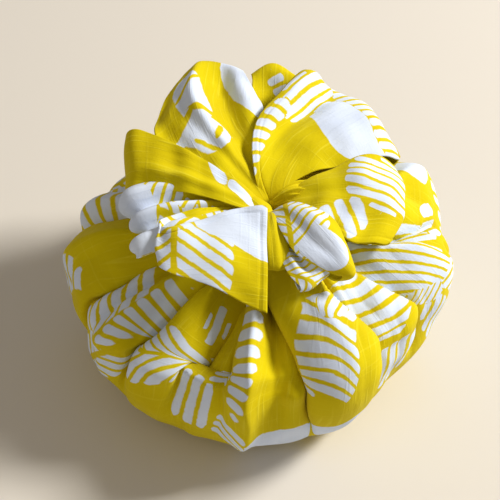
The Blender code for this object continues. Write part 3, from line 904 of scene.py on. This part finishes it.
# %% The loops' tables
LOOPS = {
    "back_left": {
        "azimuth": 113.0,
        "yaw": -14.0,
        "round": 9.0,
        "stations": (
            # reach, height, half width, lean, droop of the edges, swing of the azimuth
            (2.0, 103.0, 4.0, 0.0, 0.0, 10.0),
            (12.0, 110.0, 8.0, 0.0, 1.0, 16.0),
            (32.0, 117.0, 18.0, -1.0, 2.0, 16.0),
            (52.0, 122.0, 27.0, -3.0, 4.0, 12.0),
            (68.0, 125.0, 30.0, -4.0, 4.0, 8.0),
            (84.0, 124.5, 25.0, -6.0, 3.0, 2.0),
            (98.0, 121.5, 18.0, -8.0, 1.0, -3.0),
            (102.0, 112.0, 16.0, -8.0, 1.0, -3.0),
            (92.0, 101.5, 17.0, -4.0, 0.0, -2.0),
            (70.0, 101.5, 15.0, -4.0, 0.0, 0.0),
            (40.0, 104.5, 11.0, 0.0, 0.0, 0.0),
            (8.0, 102.5, 4.0, 0.0, 0.0, 0.0),
        ),
        "folds": (
            # place near the neck, at the rim, lift, spread
            (-0.12, 0.25, 5.5, 0.16),
            (-0.5, -0.35, -9.0, 0.3),
            (-0.85, -0.75, 3.0, 0.22),
            (0.5, 0.95, -3.0, 0.2),
            (-1.0, -1.0, -6.0, 0.3),
        ),
    },
    "tuck": {
        "azimuth": 140.0,
        "yaw": 0.0,
        "round": 2.0,
        "stations": (
            (4.0, 103.0, 3.0, 0.0, 0.0, -8.0),
            (16.0, 110.5, 5.0, -10.0, 0.0, -4.0),
            (34.0, 114.0, 8.0, -14.0, 1.0, -1.0),
            (50.0, 114.0, 11.0, -14.0, 2.0, 0.0),
            (60.0, 109.0, 10.0, -8.0, 1.0, 0.0),
            (54.0, 102.0, 8.0, 0.0, 0.0, 0.0),
            (30.0, 102.5, 5.0, 0.0, 0.0, 0.0),
            (8.0, 102.0, 3.0, 0.0, 0.0, 0.0),
        ),
        "folds": (
            (0.4, 0.4, 2.0, 0.25),
            (-0.3, -0.3, -2.0, 0.25),
        ),
    },
    "back": {
        "azimuth": 88.0,
        "yaw": 0.0,
        "round": 4.0,
        "stations": (
            (8.0, 107.0, 4.0, 0.0, 0.0, 0.0),
            (40.0, 106.5, 7.0, 0.0, -1.0, 0.0),
            (64.0, 104.5, 9.0, 0.0, -3.0, 0.0),
            (82.0, 107.0, 12.0, 0.0, -4.0, 0.0),
            (94.0, 115.5, 12.5, 0.0, 2.0, 0.0),
            (100.0, 113.0, 13.0, 0.0, 3.0, 0.0),
            (100.0, 103.0, 12.0, 0.0, 1.0, 0.0),
            (88.0, 96.0, 10.0, 0.0, 0.0, 0.0),
            (55.0, 99.5, 6.0, 0.0, 0.0, 0.0),
            (8.0, 101.5, 4.0, 0.0, 0.0, 0.0),
        ),
        "folds": (),
    },
    "back_right": {
        "azimuth": 53.0,
        "yaw": -12.0,
        "round": 5.0,
        "stations": (
            (2.0, 103.0, 4.0, 0.0, 0.0, 12.0),
            (14.0, 112.0, 10.0, 10.0, 0.0, 30.0),
            (38.0, 116.0, 23.0, 12.0, 0.0, 16.0),
            (58.0, 117.5, 29.0, 12.0, 1.0, 6.0),
            (74.0, 116.5, 34.0, 11.0, 2.0, 2.0),
            (85.0, 111.5, 36.0, 9.0, 4.0, 0.0),
            (89.0, 103.5, 33.0, 6.0, 4.0, -1.0),
            (80.0, 98.0, 29.0, 2.0, 0.0, -2.0),
            (66.0, 99.5, 21.0, 0.0, 0.0, 0.0),
            (38.0, 103.0, 12.0, 0.0, 0.0, 0.0),
            (8.0, 102.5, 4.0, 0.0, 0.0, 0.0),
        ),
        "folds": (
            (0.8, 0.85, 4.5, 0.14),
            (0.42, 0.48, -8.0, 0.22),
            (-0.4, -0.35, 2.5, 0.3),
        ),
    },
    "right": {
        "azimuth": -4.0,
        "yaw": -8.0,
        "round": 5.0,
        "stations": (
            (2.0, 102.0, 4.0, 0.0, 0.0, 0.0),
            (13.0, 110.0, 8.0, 4.0, 1.0, 2.0),
            (30.0, 115.0, 18.0, 6.0, 3.0, 1.0),
            (47.0, 115.0, 26.5, 9.0, 3.0, 1.0),
            (61.0, 111.5, 27.0, 9.0, 3.0, 3.0),
            (69.0, 105.0, 25.0, 4.0, 2.0, 4.0),
            (63.0, 99.5, 21.0, 1.0, 0.0, 3.0),
            (40.0, 102.5, 14.0, 0.0, 0.0, 0.0),
            (8.0, 102.0, 4.0, 0.0, 0.0, 0.0),
        ),
        "folds": (
            (0.6, 0.4, 3.0, 0.35),
            (-0.3, -0.4, -1.5, 0.25),
        ),
    },
    "front_right": {
        "azimuth": -58.0,
        "yaw": 10.0,
        "round": 3.0,
        "stations": (
            (2.0, 102.0, 4.0, 0.0, 0.0, 0.0),
            (10.0, 112.0, 6.0, 4.0, 1.0, 6.0),
            (24.0, 117.0, 11.0, 8.0, 3.0, 4.0),
            (40.0, 117.5, 13.0, 12.0, 4.0, 4.0),
            (53.0, 113.5, 9.0, 12.0, 3.0, 6.0),
            (62.0, 107.5, 4.0, 6.0, 1.0, 8.0),
            (55.0, 102.0, 5.0, 0.0, 0.0, 6.0),
            (30.0, 103.5, 7.0, 0.0, 0.0, 0.0),
            (8.0, 102.0, 4.0, 0.0, 0.0, 0.0),
        ),
        "folds": (
            (0.5, 0.5, 2.0, 0.28),
            (-0.2, -0.2, -1.5, 0.25),
        ),
    },
    "curl": {
        "azimuth": -70.0,
        "yaw": 10.0,
        "round": 1.0,
        "stations": (
            (2.0, 102.0, 3.0, 0.0, 0.0, 0.0),
            (14.0, 108.0, 5.0, 10.0, 0.0, 0.0),
            (30.0, 109.0, 7.0, 14.0, 1.0, 0.0),
            (44.0, 108.5, 9.0, 12.0, 1.0, 1.0),
            (54.0, 107.0, 9.0, 8.0, 1.0, 4.0),
            (52.0, 101.0, 8.0, 0.0, 0.0, 3.0),
            (30.0, 102.0, 5.0, 0.0, 0.0, 0.0),
            (8.0, 101.5, 3.0, 0.0, 0.0, 0.0),
        ),
        "folds": (
            (0.45, 0.45, 2.0, 0.25),
            (-0.1, -0.1, -2.5, 0.25),
        ),
    },
    "front": {
        "azimuth": -85.0,
        "yaw": 0.0,
        "round": 1.0,
        "stations": (
            (2.0, 102.0, 3.0, 0.0, 0.0, 0.0),
            (12.0, 111.0, 5.0, 0.0, 1.0, 0.0),
            (24.0, 111.5, 5.5, 0.0, 1.0, 0.0),
            (36.0, 107.5, 6.0, 0.0, 1.0, 0.0),
            (41.0, 104.0, 6.0, 0.0, 1.0, 0.0),
            (36.0, 101.5, 5.0, 0.0, 0.0, 0.0),
            (8.0, 102.0, 3.0, 0.0, 0.0, 0.0),
        ),
        "folds": (),
    },
    "left": {
        "azimuth": 165.0,
        "yaw": 18.0,
        "round": 0.0,
        "stations": (
            (4.0, 104.0, 4.0, 0.0, 0.0, 24.0),
            (14.0, 114.0, 8.0, -10.0, 0.0, 22.0),
            (38.0, 119.5, 11.0, -18.0, 1.0, 3.0),
            (58.0, 119.5, 14.5, -24.0, 1.0, -1.0),
            (72.0, 118.0, 17.0, -25.0, 0.0, -1.0),
            (78.0, 111.0, 16.0, -18.0, 0.0, -1.0),
            (72.0, 103.0, 14.0, -10.0, 0.0, 0.0),
            (48.0, 102.5, 10.0, 0.0, 0.0, 0.0),
            (8.0, 103.0, 4.0, 0.0, 0.0, 0.0),
        ),
        "folds": ((0.35, 0.35, 2.5, 0.3),),
    },
    "ruffle": {
        "azimuth": -169.0,
        "yaw": 0.0,
        "round": -3.0,
        "stations": (
            (3.0, 104.0, 4.0, 0.0, 0.0, 0.0),
            (16.0, 109.0, 8.0, -4.0, 0.0, -2.0),
            (36.0, 112.0, 15.0, -6.0, 0.0, 0.0),
            (54.0, 112.0, 20.0, -6.0, 0.0, 1.0),
            (66.0, 109.5, 21.0, -4.0, 0.0, 2.0),
            (69.0, 104.0, 19.0, 0.0, 0.0, 2.0),
            (62.0, 99.5, 15.0, 0.0, 0.0, 1.0),
            (38.0, 101.0, 10.0, 0.0, 0.0, 0.0),
            (8.0, 102.0, 4.0, 0.0, 0.0, 0.0),
        ),
        "folds": (
            (-0.75, -0.8, 3.5, 0.2),
            (-0.45, -0.42, -4.0, 0.16),
            (-0.1, -0.05, 4.0, 0.18),
            (0.2, 0.25, -4.5, 0.16),
            (0.5, 0.6, 4.0, 0.2),
        ),
        "fall": (0.62, 0.78),
    },
}

FREE_CORNER = {
    "stations": (
        # x, y, height, half width, heading of the width, lean, droop and set-back of the edges
        (-2.0, -9.0, 106.0, 4.0, 104.0, 10.0, 0.0, 0.0),
        (-18.0, -17.0, 110.0, 8.0, 98.0, 15.0, 0.0, 0.0),
        (-34.0, -27.0, 111.0, 13.0, 94.0, 18.0, 0.0, 0.0),
        (-44.0, -32.0, 111.5, 13.0, 92.0, 18.0, 0.0, 0.0),
        (-48.5, -36.0, 114.0, 11.0, 92.0, 18.0, 1.0, 0.0),
        (-42.0, -40.5, 116.0, 11.5, 88.0, 18.0, 2.0, 0.0),
        (-28.0, -40.0, 116.0, 16.2, 88.0, 16.0, 3.0, 0.0),
        (-10.0, -40.0, 114.5, 23.6, 89.0, 15.0, 3.0, 0.0),
        (5.0, -42.5, 110.5, 28.8, 90.0, 14.0, 0.0, 0.0),
    ),
    "folds": ((0.1, 0.1, 1.5, 0.5),),
}

KNOT = {
    "stations": (
        (-9.0, 4.0, 105.0, 5.0, 35.0, 0.0, 2.0, 0.0),
        (-6.0, 1.0, 109.0, 6.0, 35.0, 0.0, 4.0, 0.0),
        (-1.0, -4.0, 111.0, 6.0, 35.0, 0.0, 5.0, 0.0),
        (3.0, -8.0, 109.5, 6.0, 35.0, 0.0, 4.0, 0.0),
        (6.0, -12.0, 105.0, 5.0, 35.0, 0.0, 2.0, 0.0),
    ),
    "folds": (),
}
print("strips", [*LOOPS, "free_corner", "knot"])

# %% [markdown]
# Each strip is a thin sheet. Its section is swept along its table's rows, the folds are added
# along the sheet's own normal, and fine gathers fade out away from the neck. A hemmed edge gets
# the raised band of its turned hem with a groove where the stitching pulls it in.

# %% What lifts a strip's surface
# A pair is where a fade starts and ends, in parts of the strip for its folds, and otherwise in
# millimetres along it.
STRIP_FOLDS_RISE = (0.08, 0.35)
STRIP_FOLDS_FALL = (0.4, 0.58)
RIM_PART = 0.5
GATHERS_START = (4.0, 16.0)
GATHERS_END = (30.0, 75.0)
GATHER_SHARE = 0.035
GATHER_WIDTH = 0.8
GATHER_LENGTH = 400.0
RIPPLES_START = (6.0, 30.0)
RIPPLE_LIFT = 0.8
RIPPLE_LENGTH = 24.0
RIPPLE_SEEDS = 20
HEM_RISE = 0.45
HEM_EDGE = 0.5
GROOVE_DEPTH = 0.3
FAR_FROM_EDGES = 1e3
HEMMED = {
    # which edges carry a hem: left side, right side, free end
    "back_right": (True, False, False),
    "right": (False, True, False),
    "free_corner": (True, False, True),
}


def folds_lift(t, part, folds, fall):
    """The sum of lift * e^-((t - place) / spread)^2 over the folds, faded in past the neck and
    out again under the rim."""
    strength = smooth_step(part, *STRIP_FOLDS_RISE) * (1 - smooth_step(part, *fall))
    lift = np.zeros(np.broadcast(t, part).shape)
    for at_neck, at_rim, height, spread in folds:
        place = at_neck + (at_rim - at_neck) * smooth_step(part, 0, RIM_PART)
        lift += height * strength * np.exp(-(((t - place) / spread) ** 2))
    return lift


def small_lift(t, along, half_width, seed):
    """Fine gathers near the neck, a share of the half width high, and soft ripples beyond."""
    near_neck = smooth_step(along, *GATHERS_START) * (1 - smooth_step(along, *GATHERS_END))
    gathers = GATHER_SHARE * half_width * soft_noise(t, along / GATHER_LENGTH, GATHER_WIDTH, seed)
    ripples = soft_noise(half_width * t, along, RIPPLE_LENGTH, seed + RIPPLE_SEEDS)
    return gathers * near_neck + RIPPLE_LIFT * ripples * smooth_step(along, *RIPPLES_START)


def hem_lift(name, t, along, half_width):
    """The raised band of a turned hem beside each hemmed edge, and the groove of its stitches."""
    distances = (half_width * (1 - t), half_width * (1 + t), along[-1] - along)
    to_edge = np.full(np.broadcast(t, along).shape, FAR_FROM_EDGES)
    for hemmed, distance in zip(HEMMED.get(name, (False, False, False)), distances):
        if hemmed:
            to_edge = np.minimum(to_edge, distance)
    band = 1 - smooth_step(to_edge, HEM_WIDTH - HEM_EDGE, HEM_WIDTH)
    groove = np.exp(-(((to_edge - HEM_WIDTH) / HEM_EDGE) ** 2))
    return HEM_RISE * band - GROOVE_DEPTH * groove


print("strips with a hem:", list(HEMMED))


# %% Sweep a strip
STRIP_ALONG = 160
STRIP_ACROSS = 80
LOOP_FULL_REACH = 60.0


def radial_stations(loop):
    """A loop's rows, given by reach from the neck, as a strip's stations in x, y and height."""
    stations = []
    for reach, height, half_width, lean, droop, swing in loop["stations"]:
        azimuth = loop["azimuth"] + swing
        angle = np.radians(azimuth)
        x = NECK_PLACE[0] + reach * np.cos(angle)
        y = NECK_PLACE[1] + reach * np.sin(angle)
        share = min(reach / LOOP_FULL_REACH, 1)
        heading = azimuth + 90 + loop["yaw"] * share
        stations.append((x, y, height, half_width, heading, lean, droop, loop["round"] * share))
    return stations


def strip_surface(name, stations, folds, seed, fall):
    """Section = middle + half width * t * cross + normal * lift - outward * set-back * t^2,
    with t from -1 to 1 and lift the folds less the droop * t^2. Also returns each point's place
    on the cloth."""
    rows = smooth_rows(stations, STRIP_ALONG)
    middle = rows[:, :3]
    half_width, heading, lean, droop, set_back = rows.T[3:, :, None]
    heading, lean = np.radians(heading), np.radians(lean)
    level = np.cos(lean)
    cross = np.hstack([np.cos(heading) * level, np.sin(heading) * level, np.sin(lean)])
    outward = np.hstack([np.sin(heading), -np.cos(heading), np.zeros_like(heading)])
    normal = np.cross(np.gradient(middle, axis=0), cross)
    normal /= np.linalg.norm(normal, axis=-1, keepdims=True)
    t = np.linspace(-1, 1, STRIP_ACROSS)[None, :]
    part = np.linspace(0, 1, STRIP_ALONG)[:, None]
    along = path_length(middle)[:, None]
    across = half_width * t
    lift = folds_lift(t, part, folds, fall) - droop * t**2
    lift += small_lift(t, along, half_width, seed) + hem_lift(name, t, along, half_width)
    points = (
        middle[:, None]
        + across[..., None] * cross[:, None]
        - (set_back * t**2)[..., None] * outward[:, None]
        + lift[..., None] * normal[:, None]
    )
    places = np.stack(np.broadcast_arrays(across, along), axis=-1)
    return points, places


print("faces of a strip:", (STRIP_ALONG - 1) * (STRIP_ACROSS - 1))


# %% Make the strips
CORNER_SEED, KNOT_SEED = 31, 32


def make_strip(name, stations, folds, seed, fall=STRIP_FOLDS_FALL):
    """One sheet of cloth, thickened evenly to both sides. Its flat size is the mean length of its
    grid lines, along and across."""
    points, places = strip_surface(name, stations, folds, seed, fall)
    faces = grid_faces(STRIP_ALONG, STRIP_ACROSS, closed=False)
    flat_places = places.reshape(-1, 2)
    maps = print_maps(flat_places, faces, LEAVES[name])
    maps["weave"] = flat_places[faces].reshape(-1, 2) * MM
    piece = mesh_piece(name + "_sheet", points.reshape(-1, 3), faces, maps)
    thicken = piece.modifiers.new("thickness", "SOLIDIFY")
    thicken.thickness = CLOTH_THICKNESS * MM
    thicken.offset = 0
    piece.data.materials.append(COTTON)
    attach(piece, "root")
    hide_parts(CLOTH_NODE)


for seed, (name, loop) in enumerate(LOOPS.items(), start=1):
    fall = loop.get("fall", STRIP_FOLDS_FALL)
    make_strip(name, radial_stations(loop), loop["folds"], seed, fall)
make_strip("free_corner", FREE_CORNER["stations"], FREE_CORNER["folds"], CORNER_SEED)
make_strip("knot", KNOT["stations"], KNOT["folds"], KNOT_SEED)

# %% Finish the bundle
bundle.data.materials.append(COTTON)
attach(bundle, "root")
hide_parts(CLOTH_NODE)
print("pieces in the cotton", COTTON.users)

# %% [markdown]
# ## Floor, light and camera
#
# A plain pale floor shows the cloth's own colours and the shadow it stands in. It is painted
# matt, so that no gloss competes with the print.

# %% Floor
FLOOR_SIZE = 3.0
FLOOR_DROP = 0.0004
FLOOR_COLOUR = "#DAD6CF"
FLOOR_ROUGHNESS = 0.9


def make_floor():
    """A square on the surface that the bundle stands on, just under its flat base."""
    half = FLOOR_SIZE / 2
    corners = [(x * half, y * half, -FLOOR_DROP) for x, y in ((-1, -1), (1, -1), (1, 1), (-1, 1))]
    mesh = bpy.data.meshes.new("floor")
    mesh.from_pydata(corners, [], [(0, 1, 2, 3)])
    floor = bpy.data.objects.new("floor", mesh)
    bpy.context.scene.collection.objects.link(floor)
    paint = bpy.data.materials.new("pale matt paint")
    paint.use_nodes = True
    shader = paint.node_tree.nodes["Principled BSDF"]
    shader.inputs["Base Color"].default_value = linear(FLOOR_COLOUR)
    shader.inputs["Roughness"].default_value = FLOOR_ROUGHNESS
    mesh.materials.append(paint)
    return floor


make_floor()
print("floor of", FLOOR_SIZE, "m")

# %% [markdown]
# One soft key light stands high on the right, a little behind, so the folds throw their shadows
# to the front left. A broad, weak fill and a pale sky keep the shadows open. The camera looks
# down at 50 degrees from 0.62 m, as in the photograph, with a slight shift for its framing.

# %% Lights and camera
CAMERA_ELEVATION = 50.0
CAMERA_DISTANCE = 0.62
CAMERA_TARGET = Vector((0.0, 0.0, 0.05))
LENS = 81.3
SHIFT = (-0.013, 0.044)
LIGHTS = {
    # place, size, power, colour
    "key": ((1.9, 0.45, 1.7), 0.6, 86.0, "#FFFAF2"),
    "fill": ((-0.7, -0.6, 0.9), 1.2, 1.6, "#FFEBD0"),
}
SKY_COLOUR = "#FFF4E6"
SKY_STRENGTH = 0.27


def aim(thing, target):
    """Turns a light or camera so that its -Z axis points at the target."""
    thing.rotation_euler = (target - thing.location).to_track_quat("-Z", "Y").to_euler()


def add_area_light(name, place, size, power, colour):
    """A square area light, aimed at the camera's target."""
    light = bpy.data.lights.new(name, "AREA")
    light.size = size
    light.energy = power
    light.color = linear(colour)[:3]
    lamp = bpy.data.objects.new(name, light)
    lamp.location = place
    aim(lamp, CAMERA_TARGET)
    bpy.context.scene.collection.objects.link(lamp)


for name, row in LIGHTS.items():
    add_area_light(name, *row)

world = bpy.data.worlds.new("studio")
world.use_nodes = True
world.node_tree.nodes["Background"].inputs["Color"].default_value = linear(SKY_COLOUR)
world.node_tree.nodes["Background"].inputs["Strength"].default_value = SKY_STRENGTH
bpy.context.scene.world = world
bpy.context.scene.view_settings.view_transform = "Standard"

camera = bpy.data.objects.new("camera", bpy.data.cameras.new("camera"))
elevation = np.radians(CAMERA_ELEVATION)
way_back = Vector((0, -np.cos(elevation), np.sin(elevation)))
camera.location = CAMERA_TARGET + CAMERA_DISTANCE * way_back
aim(camera, CAMERA_TARGET)
camera.data.lens = LENS
camera.data.shift_x, camera.data.shift_y = SHIFT
bpy.context.scene.collection.objects.link(camera)
bpy.context.scene.camera = camera
print("camera at", tuple(camera.location))
